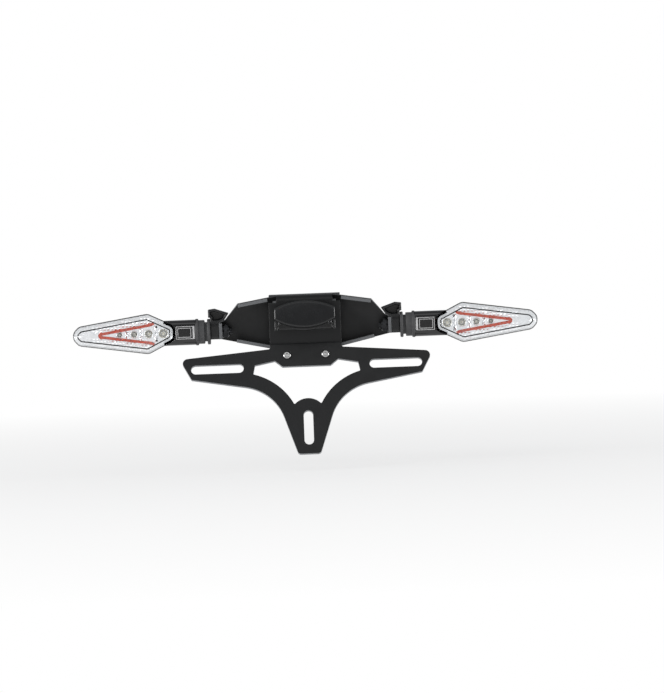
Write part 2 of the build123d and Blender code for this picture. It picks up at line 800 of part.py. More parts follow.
# Lamp board and chips under the reflector, and the chevron-shaped light guide on top of it
board_length = (cups - 1) * cup_pitch + 2 * chip
board_mid = cup_first + (cups - 1) * cup_pitch / 2
with BuildPart() as right_lamp_board:
    with BuildSketch(body_face):
        with Locations((board_mid, 0)):
            Rectangle(board_length, lamp_board_width)
    extrude(amount=board_sheet)
save_pair(right_lamp_board, "lamp_board")
with BuildPart() as right_lamp_leds:
    for cup_x, cup_r in cup_list:
        with BuildSketch(lens_face):
            with Locations((cup_x, 0)):
                Rectangle(cup_foot * cup_r * 1.2, cup_foot * cup_r * 1.2)
        extrude(amount=chip_height)
save_pair(right_lamp_leds, "lamp_leds")
guide_points = [
    (guide_hook, guide_hook_half),
    (guide_root, guide_half),
    (guide_tip, guide_tip_half),
    (guide_tip, -guide_tip_half),
    (guide_root, -guide_half),
    (guide_hook, -guide_hook_half),
]
with BuildPart() as right_light_guide:
    with BuildSketch(reflector_top):
        with BuildLine():
            FilletPolyline(*guide_points, radius=guide_width)
            offset(amount=guide_width, side=Side.RIGHT)
        make_face()
    extrude(amount=guide_height)
save_pair(right_light_guide, "light_guide")
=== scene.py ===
"""Motorcycle tail tidy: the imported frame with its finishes, fasteners, lamp optics and a plain studio."""
import logging
import math
from collections.abc import Iterable
from dataclasses import dataclass, field
from enum import Enum
from functools import cached_property
from typing import Any

import bmesh
import bpy
from mathutils import Matrix, Vector


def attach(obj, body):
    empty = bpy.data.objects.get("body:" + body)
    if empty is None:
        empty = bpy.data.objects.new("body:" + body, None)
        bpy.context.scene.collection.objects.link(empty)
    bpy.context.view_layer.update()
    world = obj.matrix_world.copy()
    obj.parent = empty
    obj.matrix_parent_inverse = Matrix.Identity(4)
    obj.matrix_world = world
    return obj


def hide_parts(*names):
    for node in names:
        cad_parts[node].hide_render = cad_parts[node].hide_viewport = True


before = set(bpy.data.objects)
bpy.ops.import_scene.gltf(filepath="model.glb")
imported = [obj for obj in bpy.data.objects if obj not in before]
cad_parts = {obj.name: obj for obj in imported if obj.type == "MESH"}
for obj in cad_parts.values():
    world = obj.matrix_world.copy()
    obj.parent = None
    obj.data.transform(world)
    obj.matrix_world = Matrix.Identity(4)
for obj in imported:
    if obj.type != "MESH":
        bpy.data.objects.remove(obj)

Socket = bpy.types.NodeSocket
Outputs = bpy.types.NodeOutputs
Settings = dict[str | int, Any]
Links = dict[str | int, Socket]
Spot = tuple[Vector, Vector]
Points = tuple[tuple[float, float], ...]
Strip = tuple[float, float, float, float]

LOG = logging.getLogger("tail_tidy")
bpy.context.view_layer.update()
MM = 0.001
STEM_AXIS_Z = -26.2
WHITE = (1.0, 1.0, 1.0, 1.0)

# Least angle of an edge that stays sharp, in degrees: on folded sheet, on mouldings and on turned pieces
SHEET_SHARP = 40.0
MOULDED_SHARP = 35.0
TURNED_SHARP = 32.0


class Side(Enum):
    """The two mirrored ends of the tail tidy, seen from behind."""

    LEFT = -1
    RIGHT = 1

    def node(self, name: str) -> str:
        """Returns the name of this side's piece."""
        return f"{self.name.lower()}_{name}"


class Slot(Enum):
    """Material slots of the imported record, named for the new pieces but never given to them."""

    POWDER = "powder_coat"
    STEEL = "stainless"
    DARK_STEEL = "black_steel"
    MOULDED = "black_plastic"
    GLOSS = "gloss_black"
    RUBBER = "black_rubber"
    SILVER = "silvering"


class Form(Enum):
    """Outlines of a ring."""

    CIRCLE = "circle"
    HEXAGON = "hexagon"


def linear(hex_colour: str) -> tuple[float, float, float, float]:
    """Turns an sRGB hex colour to linear light.

    Args:
        hex_colour: Six hex digits after a hash sign.

    Returns:
        Linear red, green and blue with an alpha of 1.
    """
    parts = [int(hex_colour[i : i + 2], 16) / 255 for i in (1, 3, 5)]
    red, green, blue = (p / 12.92 if p <= 0.04045 else ((p + 0.055) / 1.055) ** 2.4 for p in parts)
    return (red, green, blue, 1.0)


class Graph:
    """A node tree that grows by one node at a time."""

    def __init__(self, tree: bpy.types.NodeTree) -> None:
        """Takes the tree that gets the nodes."""
        self.tree = tree

    def add(self, kind: str, settings: Settings | None = None, links: Links | None = None) -> Outputs:
        """Adds one node with its settings and links.

        Args:
            kind: Blender's name of the node type.
            settings: Values for the node's properties, or for its inputs by name or place.
            links: Output sockets for the node's inputs by name or place.

        Returns:
            The node's outputs.
        """
        node = self.tree.nodes.new(kind)
        for key, value in (settings or {}).items():
            if isinstance(key, str) and hasattr(node, key):
                setattr(node, key, value)
            else:
                node.inputs[key].default_value = value
        for key, source in (links or {}).items():
            self.tree.links.new(source, node.inputs[key])
        return node.outputs


class Shading(Graph):
    """The node tree of a material or a world, emptied at the start."""

    def __init__(self, owner: bpy.types.Material | bpy.types.World) -> None:
        """Empties the owner's tree."""
        owner.use_nodes = True
        super().__init__(owner.node_tree)
        self.tree.nodes.clear()

    @cached_property
    def place(self) -> Socket:
        """Coordinates on the object, in metres."""
        return self.add("ShaderNodeTexCoord")["Object"]

    def cloud(self, size_mm: float, detail: float) -> Socket:
        """Adds a soft noise whose blotches have one real size.

        Args:
            size_mm: Width of a blotch.
            detail: Octaves of finer blotches.

        Returns:
            The noise from 0 to 1.
        """
        settings = {"Scale": 1 / (size_mm * MM), "Detail": detail}
        return self.add("ShaderNodeTexNoise", settings, {"Vector": self.place})[0]


# Octaves of the noise in the colour, the shine and the relief
MOTTLE_DETAIL = 3.0
SMEAR_DETAIL = 4.0
GRAIN_DETAIL = 2.0
# Size of a smear over that of a blotch, and the part of its noise that spreads the shine
SMEAR_SHARE = 0.6
SMEAR_RANGE = (0.3, 0.7)
EDGE_SAMPLES = 8


@dataclass(frozen=True)
class Finish:
    """A surface with two close tones, a varying shine, a fine relief and edges that can look rounded."""

    name: str
    dark: str
    light: str
    mottle_mm: float
    grain_mm: float
    relief_mm: float
    shine: tuple[float, float]
    shader: dict[str, Any]
    edge_mm: float = 0.0

    def material(self) -> bpy.types.Material:
        """Returns the finish as a material, made at its first use."""
        known = bpy.data.materials.get(self.name)
        if known:
            return known
        made = bpy.data.materials.new(self.name)
        shading = Shading(made)
        links = {
            "Base Color": self.colour(shading),
            "Roughness": self.gloss(shading),
            "Normal": self.bump(shading),
        }
        surface = shading.add("ShaderNodeBsdfPrincipled", self.shader, links)
        shading.add("ShaderNodeOutputMaterial", links={"Surface": surface["BSDF"]})
        return made

    def colour(self, shading: Shading) -> Socket:
        """Mixes the two tones in soft blotches.

        Args:
            shading: Tree of the material.

        Returns:
            The colour.
        """
        blotch = shading.cloud(self.mottle_mm, MOTTLE_DETAIL)
        tones = {"data_type": "RGBA", 6: linear(self.dark), 7: linear(self.light)}
        return shading.add("ShaderNodeMix", tones, {0: blotch})[2]

    def gloss(self, shading: Shading) -> Socket:
        """Spreads the roughness between its two ends.

        Args:
            shading: Tree of the material.

        Returns:
            The roughness.
        """
        smear = shading.cloud(self.mottle_mm * SMEAR_SHARE, SMEAR_DETAIL)
        low, high = SMEAR_RANGE
        ends = {"From Min": low, "From Max": high, "To Min": self.shine[0], "To Max": self.shine[1]}
        return shading.add("ShaderNodeMapRange", ends, {"Value": smear})[0]

    def height(self, shading: Shading) -> Socket:
        """Returns the relief before it is scaled, here a plain grain."""
        return shading.cloud(self.grain_mm, GRAIN_DETAIL)

    def bump(self, shading: Shading) -> Socket:
        """Turns the relief to a shading normal, on edges that look as round as the process leaves them.

        Args:
            shading: Tree of the material.

        Returns:
            The normal.
        """
        links = {"Height": self.height(shading)}
        if self.edge_mm:
            rounding = {"samples": EDGE_SAMPLES, "Radius": self.edge_mm * MM}
            links["Normal"] = shading.add("ShaderNodeBevel", rounding)[0]
        return shading.add("ShaderNodeBump", {"Strength": 1.0, "Distance": self.relief_mm * MM}, links)[0]


@dataclass(frozen=True)
class CoatedSheet(Finish):
    """Powder coat on laser-cut sheet, with a light grey highlight painted on its cut edges."""

    painted_edge_highlight: str = "#A6A8AB"

    def colour(self, shading: Shading) -> Socket:
        """Paints a light grey highlight on the faces marked as cut edges.

        Args:
            shading: Tree of the material.

        Returns:
            The colour.
        """
        coat = super().colour(shading)
        # Each face's share of painted highlight, stored on the cut edges
        cut = shading.add("ShaderNodeAttribute", {"attribute_name": "cut_edge"})["Fac"]
        tones = {"data_type": "RGBA", 7: linear(self.painted_edge_highlight)}
        return shading.add("ShaderNodeMix", tones, {0: cut, 6: coat})[2]


@dataclass(frozen=True)
class SparkErodedPlastic(Finish):
    """Moulded plastic with the pebbled grain of a spark-eroded mould."""

    def height(self, shading: Shading) -> Socket:
        """Returns rounded pebbles."""
        pebbles = {"feature": "SMOOTH_F1", "Scale": 1 / (self.grain_mm * MM)}
        return shading.add("ShaderNodeTexVoronoi", pebbles, {"Vector": shading.place})["Distance"]


@dataclass(frozen=True)
class TurnedSteel(Finish):
    """Steel with the fine rings, a grain apart, that turning leaves round its own axis."""

    def height(self, shading: Shading) -> Socket:
        """Returns rings that follow the piece's stored distance from its axis."""
        away = shading.add("ShaderNodeAttribute", {"attribute_name": "axis_distance"})["Fac"]
        turns = {"operation": "MULTIPLY", 1: 2 * math.pi / (self.grain_mm * MM)}
        rings = shading.add("ShaderNodeMath", turns, {0: away})[0]
        return shading.add("ShaderNodeMath", {"operation": "SINE"}, {0: rings})[0]


@dataclass(frozen=True)
class TracedBoard(Finish):
    """Printed circuit board with tracks, a grain high, that stand out under its lacquer."""

    track_gap: float = 0.03
    track_length: float = 1.4

    def height(self, shading: Shading) -> Socket:
        """Returns square blocks of track with gaps between them."""
        scale = 1 / (self.grain_mm * MM)
        tracks = {"Scale": scale, "Mortar Size": self.track_gap, "Brick Width": self.track_length}
        return shading.add("ShaderNodeTexBrick", tracks, {"Vector": shading.place})["Fac"]


class Finishes:
    """The finishes of the tail tidy, each from what the real surface is made of."""

    # Satin black polyester powder on folded steel: an even dark grey sheen with a faint orange peel, and a
    # highlight painted on the cut edges
    powder = CoatedSheet(
        name="satin_powder_coat",
        dark="#0A0B0C",
        light="#111214",
        mottle_mm=14.0,
        grain_mm=1.3,
        relief_mm=0.007,
        shine=(0.36, 0.46),
        shader={"IOR": 1.45},
        edge_mm=0.6,
    )
    # Stainless steel, turned and tumbled: a bright soft shine, with rings drawn coarser than life to show
    steel = TurnedSteel(
        name="turned_stainless",
        dark="#A9A9A8",
        light="#C4C4C3",
        mottle_mm=2.4,
        grain_mm=0.35,
        relief_mm=0.004,
        shine=(0.16, 0.26),
        shader={"Metallic": 1.0},
    )
    # Black zinc plated steel: a dark metal whose corners catch the light
    zinc = TurnedSteel(
        name="black_zinc",
        dark="#2E2F31",
        light="#47484A",
        mottle_mm=2.0,
        grain_mm=0.35,
        relief_mm=0.004,
        shine=(0.24, 0.36),
        shader={"Metallic": 1.0},
    )
    # Nylon from a finely spark-eroded mould: satin black whose edges gleam where they turn to the light
    moulded = SparkErodedPlastic(
        name="spark_eroded_nylon",
        dark="#0E0F10",
        light="#161719",
        mottle_mm=6.0,
        grain_mm=0.7,
        relief_mm=0.005,
        shine=(0.20, 0.28),
        shader={"IOR": 1.53},
        edge_mm=2.0,
    )
    # Polished black ABS: deep black with clear reflections and a slight moulding ripple
    gloss = Finish(
        name="polished_abs",
        dark="#0A0A0C",
        light="#111113",
        mottle_mm=9.0,
        grain_mm=5.0,
        relief_mm=0.006,
        shine=(0.10, 0.18),
        shader={"IOR": 1.54, "Coat Weight": 0.4},
        edge_mm=0.5,
    )
    # Moulded EPDM rubber: soft black with a grey bloom and a fine matt grain
    rubber = Finish(
        name="moulded_epdm",
        dark="#434344",
        light="#565657",
        mottle_mm=3.0,
        grain_mm=0.5,
        relief_mm=0.015,
        shine=(0.55, 0.70),
        shader={"IOR": 1.5},
    )
    # Clear polycarbonate, injection moulded: water clear with a faint ripple that bends what lies behind it
    clear = Finish(
        name="clear_polycarbonate",
        dark="#F3F6F7",
        light="#FDFDFE",
        mottle_mm=12.0,
        grain_mm=7.0,
        relief_mm=0.004,
        shine=(0.0, 0.03),
        shader={"IOR": 1.58, "Transmission Weight": 1.0},
    )
    # Frosted polycarbonate: clear plastic with an etched skin that blurs and softens what shines through it
    frosted = Finish(
        name="frosted_polycarbonate",
        dark="#C9CDCF",
        light="#DADDDF",
        mottle_mm=6.0,
        grain_mm=0.6,
        relief_mm=0.01,
        shine=(0.40, 0.55),
        shader={"IOR": 1.58, "Transmission Weight": 1.0},
    )
    # Vacuum-metallised reflector: near mirror aluminium with a slight haze
    silver = Finish(
        name="metallised_reflector",
        dark="#ECECEE",
        light="#FAFAFA",
        mottle_mm=4.0,
        grain_mm=3.0,
        relief_mm=0.010,
        shine=(0.08, 0.20),
        shader={"Metallic": 1.0},
    )
    # Tinted acrylic light guide: saturated orange red with a glossy skin and light that spreads inside
    guide = Finish(
        name="tinted_acrylic",
        dark="#D8401F",
        light="#EC5A32",
        mottle_mm=5.0,
        grain_mm=2.0,
        relief_mm=0.006,
        shine=(0.14, 0.26),
        shader={"IOR": 1.49, "Subsurface Weight": 0.2, "Subsurface Radius": (0.002, 0.0008, 0.0004)},
    )
    # Lamp board under white solder lacquer: a bright dull white with raised tracks
    board = TracedBoard(
        name="white_lacquered_board",
        dark="#E4E6E5",
        light="#F1F1F0",
        mottle_mm=3.0,
        grain_mm=1.6,
        relief_mm=0.03,
        shine=(0.30, 0.45),
        shader={"IOR": 1.52},
    )
    # Phosphor under clear resin: pale yellow and glassy
    chip = Finish(
        name="phosphor_chip",
        dark="#F3ECD2",
        light="#FBF7EA",
        mottle_mm=1.0,
        grain_mm=0.8,
        relief_mm=0.01,
        shine=(0.12, 0.25),
        shader={"IOR": 1.5, "Coat Weight": 1.0},
    )


def new_object(name: str, work: bmesh.types.BMesh | None = None) -> bpy.types.Object:
    """Adds an object at the origin.

    Args:
        name: Name of the object and of its mesh.
        work: Its shape, already in place, which is freed. The mesh is empty without one.

    Returns:
        The object.
    """
    mesh = bpy.data.meshes.new(name)
    if work is not None:
        work.to_mesh(mesh)
        work.free()
    made = bpy.data.objects.new(name, mesh)
    bpy.context.scene.collection.objects.link(made)
    return made


def apply_modifiers(holder: bpy.types.Object) -> None:
    """Turns an object's evaluated shape to its plain mesh and removes its modifiers.

    Args:
        holder: Object whose modifiers are run.
    """
    graph = bpy.context.evaluated_depsgraph_get()
    mesh = bpy.data.meshes.new_from_object(holder.evaluated_get(graph))
    holder.modifiers.clear()
    holder.data = mesh
    mesh.name = holder.name


def dress(piece: bpy.types.Object, finish: Finish, slot: Slot, nodes: Iterable[str] = ()) -> None:
    """Gives a finished piece its material and its body, and hides the nodes that it stands for.

    Args:
        piece: Finished object.
        finish: Its surface.
        slot: Material slot of the record. Not used.
        nodes: Nodes of the frame that the piece replaces.
    """
    piece.data.materials.clear()
    piece.data.materials.append(finish.material())
    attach(piece, "root")
    if nodes:
        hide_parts(*nodes)
    LOG.info("piece %s, %d faces", piece.name, len(piece.data.polygons))


def coat_node(node: str, finish: Finish) -> None:
    """Gives a node of the frame that keeps its shape a better material.

    Args:
        node: Name of the node.
        finish: Its surface.
    """
    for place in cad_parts[node].material_slots:
        place.material = finish.material()
    LOG.info("node %s in %s", node, finish.name)


@dataclass
class NodeCopy:
    """A merged copy of a node, rounded where the finest edges of its mesh leave room for that."""

    node: str
    name: str
    finish: Finish
    slot: Slot
    round_mm: float = 0.0
    steps: int = 2
    sharp_deg: float = 30.0
    sheet_mm: float = 0.0
    # Share of painted highlight given to a sheet's cut walls
    edge_highlight_share: float = 0.0
    merge_mm: float = 0.002
    flat_deg: float = 0.4
    wall_width: float = 1.2
    fold_length: float = 1.4

    def is_cut(self, face: bmesh.types.BMFace) -> bool:
        """Tells the sheet's cut walls from its faces and folds.

        Args:
            face: Face whose edges are already marked as smooth or sharp.

        Returns:
            Whether the face is about as narrow as the sheet and sharp along both sides.
        """
        sheet = self.sheet_mm * MM
        smooth = [edge.calc_length() for edge in face.edges if edge.smooth]
        narrow = 2 * face.calc_area() < self.wall_width * sheet * face.calc_perimeter()
        folded = max(smooth, default=0.0) >= self.fold_length * sheet
        return narrow and not folded and len(face.edges) - len(smooth) > 1

    def merged(self) -> bmesh.types.BMesh:
        """Merges the node's triangles and marks the cut walls of a sheet with their share of painted
        highlight.

        Returns:
            The merged shape.
        """
        work = bmesh.new()
        work.from_mesh(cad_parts[self.node].data)
        bmesh.ops.remove_doubles(work, verts=work.verts, dist=self.merge_mm * MM)
        flat = math.radians(self.flat_deg)
        bmesh.ops.dissolve_limit(work, angle_limit=flat, verts=work.verts, edges=work.edges)
        cut = work.faces.layers.float.new("cut_edge")
        for edge in work.edges:
            edge.smooth = edge.calc_face_angle(0.0) < math.radians(self.sharp_deg)
        for face in work.faces:
            face.smooth = True
            face[cut] = self.edge_highlight_share if self.is_cut(face) else 0.0
        return work

    def build(self) -> None:
        """Rounds the sharp edges, or keeps them and lets large faces shade flat, and dresses the piece."""
        piece = new_object(self.name, self.merged())
        if self.round_mm:
            rounding = piece.modifiers.new("rounding", "BEVEL")
            rounding.width = self.round_mm * MM
            rounding.segments = self.steps
            rounding.limit_method = "ANGLE"
            rounding.angle_limit = math.radians(self.sharp_deg)
            rounding.harden_normals = True
            rounding.miter_outer = "MITER_ARC"
        else:
            piece.modifiers.new("flat_faces", "WEIGHTED_NORMAL").keep_sharp = True
        apply_modifiers(piece)
        dress(piece, self.finish, self.slot, [self.node])


@dataclass(frozen=True)
class Ring:
    """One level of a solid round the Z axis, in millimetres."""

    form: Form
    size: float
    height: float
    limit: float = math.inf

    def reach(self, turn: float) -> float:
        """Gives the ring's distance from the axis.

        Args:
            turn: Angle round the axis.

        Returns:
            The radius of a circle, or the distance of a hexagon's side, cut off at its limit.
        """
        if self.form is Form.CIRCLE:
            return self.size
        corner = (turn + math.pi / 6) % (math.pi / 3) - math.pi / 6
        return min(self.size / math.cos(corner), self.limit)


@dataclass
class Rings:
    """A solid made of rings round the Z axis."""

    steps: int = 48
    hollow: bool = False
    rings: list[Ring] = field(default_factory=list)

    def circle(self, radius: float, height: float) -> "Rings":
        """Adds a round ring and returns the stack."""
        self.rings.append(Ring(Form.CIRCLE, radius, height))
        return self

    def hexagon(self, flats: float, height: float, limit: float = math.inf) -> "Rings":
        """Adds a hexagonal ring whose corners stop at a limit radius, and returns the stack."""
        self.rings.append(Ring(Form.HEXAGON, flats / 2, height, limit))
        return self

    def loops(self, work: bmesh.types.BMesh) -> list[list[bmesh.types.BMVert]]:
        """Sets the points of every ring, each with its distance from the axis.

        Args:
            work: Shape that gets the points.

        Returns:
            The points of each ring in order.
        """
        away = work.verts.layers.float.new("axis_distance")
        turns = [2 * math.pi * i / self.steps for i in range(self.steps)]
        loops = []
        for ring in self.rings:
            loop = []
            for turn in turns:
                reach = ring.reach(turn) * MM
                vert = work.verts.new((reach * math.cos(turn), reach * math.sin(turn), ring.height * MM))
                vert[away] = reach
                loop.append(vert)
            loops.append(loop)
        return loops

    def build(self, name: str) -> bpy.types.Object:
        """Joins the rings and closes their ends, unless the stack is a hollow loop.

        Args:
            name: Name of the object.

        Returns:
            The object, in metres from sizes in millimetres.
        """
        work = bmesh.new()
        loops = self.loops(work)
        pairs = list(zip(loops, loops[1:]))
        if self.hollow:
            pairs.append((loops[-1], loops[0]))
        else:
            work.faces.new(loops[0])
            work.faces.new(loops[-1])
        for low, high in pairs:
            for i in range(self.steps):
                j = (i + 1) % self.steps
                work.faces.new((low[i], low[j], high[j], high[i]))
        bmesh.ops.recalc_face_normals(work, faces=work.faces)
        if work.calc_volume(signed=True) < 0:
            bmesh.ops.reverse_faces(work, faces=work.faces)
        for face in work.faces:
            face.smooth = True
        for edge in work.edges:
            edge.smooth = edge.calc_face_angle(0.0) < math.radians(TURNED_SHARP)
        return new_object(name, work)


class GeometryTree(Graph):
    """A geometry tree with named inputs that ends in real faces with a material."""

    kinds: dict[type, str] = {
        float: "NodeSocketFloat",
        int: "NodeSocketInt",
        bpy.types.Object: "NodeSocketObject",
    }

    def __init__(self, name: str, values: dict[str, float | int | bpy.types.Object]) -> None:
        """Opens the tree.

        Args:
            name: Name of the tree.
            values: Value of each input by its name.
        """
        super().__init__(bpy.data.node_groups.new(name, "GeometryNodeTree"))
        self.values = values
        sockets = self.tree.interface
        sockets.new_socket("Geometry", in_out="INPUT", socket_type="NodeSocketGeometry")
        for title, value in values.items():
            kind = next(kind for group, kind in self.kinds.items() if isinstance(value, group))
            sockets.new_socket(title, in_out="INPUT", socket_type=kind)
        sockets.new_socket("Geometry", in_out="OUTPUT", socket_type="NodeSocketGeometry")
        self.inputs = self.add("NodeGroupInput")

    def close(self, shape: Socket, material: bpy.types.Material) -> None:
        """Makes the instances real, sets the material and ends the tree.

        Args:
            shape: Geometry to end with.
            material: Its material.
        """
        real = self.add("GeometryNodeRealizeInstances", links={"Geometry": shape})
        coated = self.add("GeometryNodeSetMaterial", {"Material": material}, {"Geometry": real[0]})
        self.add("NodeGroupOutput", links={0: coated[0]})

    def run(self, holder: bpy.types.Object) -> bpy.types.Object:
        """Runs the tree on an object and leaves a plain mesh.

        Args:
            holder: Object that carries the start geometry.

        Returns:
            The object with its result.
        """
        maker = holder.modifiers.new("maker", "NODES")
        maker.node_group = self.tree
        for item in self.tree.interface.items_tree:
            if item.item_type == "SOCKET" and item.in_out == "INPUT" and item.name in self.values:
                maker[item.identifier] = self.values[item.name]
        apply_modifiers(holder)
        return holder


@dataclass(frozen=True)
class ButtonScrew:
    """Button-head socket screw, in millimetres and in shares of its head, crown or socket."""

    thread: float
    length: float
    head: float
    crown: float
    socket: float
    point: float = 0.5
    rim_inset: float = 0.12
    rim_lift: float = 0.1
    band_share: float = 0.15
    top_share: float = 0.3
    dome_steps: int = 8
    lead_in: float = 0.15
    floor_share: float = 0.4
    drill_share: float = 0.3
    drill_floor_share: float = 0.36

    def rings(self) -> Rings:
        """Returns one screw along Z with its head resting on Z = 0."""
        shank, rim, top = self.thread / 2, self.head / 2, self.top_share * self.head
        stack = Rings().circle(shank - self.point, -self.length).circle(shank, self.point - self.length)
        stack.circle(shank, 0).circle(rim - self.rim_inset, 0).circle(rim, self.rim_lift)
        stack.circle(rim, self.band_share * self.crown)
        for step in range(1, self.dome_steps + 1):
            turn = step / self.dome_steps * math.pi / 2
            rise = self.band_share + (1 - self.band_share) * math.sin(turn)
            stack.circle(top + (rim - top) * math.cos(turn), rise * self.crown)
        stack.hexagon(self.socket + 2 * self.lead_in, self.crown)
        stack.hexagon(self.socket, self.crown - self.lead_in)
        stack.hexagon(self.socket, self.floor_share * self.crown)
        return stack.circle(self.drill_share * self.socket, self.drill_floor_share * self.crown)


@dataclass(frozen=True)
class LockNut:
    """Self-locking nut, in millimetres and in shares of its height or its width over flats."""

    thread: float
    flats: float
    height: float
    play: float = 0.1
    body_share: float = 0.72
    collar_share: float = 0.44
    foot_share: float = 0.48
    turned_share: float = 0.53
    foot_rise: tuple[float, float] = (0.25, 0.6)
    shoulder_fall: tuple[float, float] = (0.5, 0.15)
    crimp: tuple[float, float] = (0.5, 0.6)
    mouth: tuple[float, float] = (0.5, 0.4)

    def rings(self) -> Rings:
        """Returns one nut along Z that stands on Z = 0, with turned-off corners and a crimped collar."""
        hole, corner = self.thread / 2 + self.play, self.flats / math.sqrt(3)
        body, collar = self.body_share * self.height, self.collar_share * self.flats
        turned = self.turned_share * self.flats
        stack = Rings(hollow=True).circle(hole, 0).circle(self.foot_share * self.flats, 0)
        stack.hexagon(self.flats, self.foot_rise[0], turned).hexagon(self.flats, self.foot_rise[1], corner)
        stack.hexagon(self.flats, body - self.shoulder_fall[0], corner)
        stack.hexagon(self.flats, body - self.shoulder_fall[1], turned)
        stack.circle(collar, body).circle(collar, self.height - self.crimp[1])
        stack.circle(collar - self.crimp[0], self.height)
        return stack.circle(hole + self.mouth[0], self.height).circle(hole, self.height - self.mouth[1])


@dataclass(frozen=True)
class Washer:
    """Plain washer, in millimetres."""

    outer: float
    hole: float
    sheet: float
    burr: tuple[float, float] = (0.1, 0.12)
    rolled: float = 0.2
    lead_in: float = 0.15

    def rings(self) -> Rings:
        """Returns one washer along Z that stands on Z = 0, with its blanked edge slightly rounded."""
        out, into, thick = self.outer / 2, self.hole / 2, self.sheet
        stack = Rings(hollow=True).circle(into, 0).circle(out - self.burr[0], 0).circle(out, self.burr[1])
        stack.circle(out, thick - self.rolled).circle(out - self.rolled, thick)
        return stack.circle(into + self.lead_in, thick).circle(into, thick - self.lead_in)


@dataclass
class FastenerRow:
    """Equal fasteners set on given spots along given axes, in the place of a node."""

    name: str
    node: str
    fastener: ButtonScrew | LockNut | Washer
    spots: list[Spot]
    finish: Finish = Finishes.steel
    slot: Slot = Slot.STEEL

    def build(self) -> None:
        """Sets a fastener on every spot and dresses the row."""
        template = self.fastener.rings().build("fastener")
        tree = GeometryTree("fastener_row", {"Fastener": template})
        named = {"data_type": "FLOAT_VECTOR", "Name": "axis"}
        axis = tree.add("GeometryNodeInputNamedAttribute", named)
        turn = tree.add("FunctionNodeAlignRotationToVector", {"axis": "Z"}, {"Vector": axis[0]})
        part = tree.add("GeometryNodeObjectInfo", links={"Object": tree.inputs["Fastener"]})
        dots = tree.add("GeometryNodeMeshToPoints", links={"Mesh": tree.inputs["Geometry"]})
        links = {"Points": dots[0], "Instance": part["Geometry"], "Rotation": turn[0]}
        row = tree.add("GeometryNodeInstanceOnPoints", links=links)
        tree.close(row[0], self.finish.material())
        piece = new_object(self.name)
        piece.data.from_pydata([spot for spot, _ in self.spots], [], [])
        pointing = piece.data.attributes.new("axis", "FLOAT_VECTOR", "POINT")
        for place, (_, direction) in zip(pointing.data, self.spots):
            place.vector = direction
        tree.run(piece)
        bpy.data.objects.remove(template)
        dress(piece, self.finish, self.slot, [self.node])


@dataclass
class Hanger:
    """Folded hanger, the slotted plate bracket and the fasteners between them."""

    lip: Vector = field(default_factory=lambda: Vector((0, -45.858, -47.950)))
    lean: float = 22.0
    sheet: float = 2.5
    plate_sheet: float = 3.0
    plate_round: float = 0.3
    # Shares of painted highlight on the cut edges of the hanger and of the plate bracket
    sheet_edge_highlight: float = 0.2
    plate_edge_highlight: float = 0.75
    screw_half: float = 15.0
    screw: ButtonScrew = ButtonScrew(thread=4.0, length=11.9, head=6.4, crown=2.1, socket=2.5)
    nut: LockNut = LockNut(thread=4.0, flats=7.0, height=4.6)
    washer: Washer = Washer(outer=9.0, hole=4.5, sheet=0.8)

    @property
    def outward(self) -> Vector:
        """Direction in which the plate bracket faces."""
        lean = math.radians(self.lean)
        return Vector((0, -math.cos(lean), math.sin(lean)))

    def spots(self, depth: float, axis: Vector) -> list[Spot]:
        """Gives the two screw spots at a depth outwards from the lip.

        Args:
            depth: Distance in millimetres.
            axis: Direction of the fastener.

        Returns:
            Spot and axis of each, in metres.
        """
        middle = self.lip + self.outward * depth
        return [((middle + Vector((x, 0, 0))) * MM, axis) for x in (-self.screw_half, self.screw_half)]

    def build(self) -> None:
        """Builds the sheet parts and the fasteners."""
        NodeCopy(
            node="main_bracket",
            name="hanger_sheet",
            finish=Finishes.powder,
            slot=Slot.POWDER,
            sharp_deg=SHEET_SHARP,
            sheet_mm=self.sheet,
            edge_highlight_share=self.sheet_edge_highlight,
        ).build()
        NodeCopy(
            node="number_plate_bracket",
            name="plate_bracket_sheet",
            finish=Finishes.powder,
            slot=Slot.POWDER,
            round_mm=self.plate_round,
            sharp_deg=SHEET_SHARP,
            sheet_mm=self.plate_sheet,
            edge_highlight_share=self.plate_edge_highlight,
        ).build()
        out, back = self.outward, -self.outward
        seat = -self.sheet - self.washer.sheet
        FastenerRow("bracket_screws", "plate_screws", self.screw, self.spots(self.plate_sheet, out)).build()
        FastenerRow("bracket_washers", "plate_washers", self.washer, self.spots(-self.sheet, back)).build()
        FastenerRow("bracket_nuts", "plate_nuts", self.nut, self.spots(seat, back)).build()


@dataclass
class PlateLight:
    """Hooded lamp over the number plate."""

    hood_round: float = 0.5
    hood_steps: int = 3
    screw_round: float = 0.3

    def build(self) -> None:
        """Rounds the hood and dresses the lamp inside it."""
        NodeCopy(
            node="plate_light_hood",
            name="lamp_hood",
            finish=Finishes.moulded,
            slot=Slot.MOULDED,
            round_mm=self.hood_round,
            steps=self.hood_steps,
            sharp_deg=MOULDED_SHARP,
        ).build()
        coat_node("plate_light_gasket", Finishes.rubber)
        coat_node("plate_light_lens", Finishes.frosted)
        coat_node("plate_light_board", Finishes.board)
        coat_node("plate_light_leds", Finishes.chip)
        NodeCopy(
            node="plate_light_screws",
            name="lamp_screws",
            finish=Finishes.steel,
            slot=Slot.STEEL,
            round_mm=self.screw_round,
        ).build()


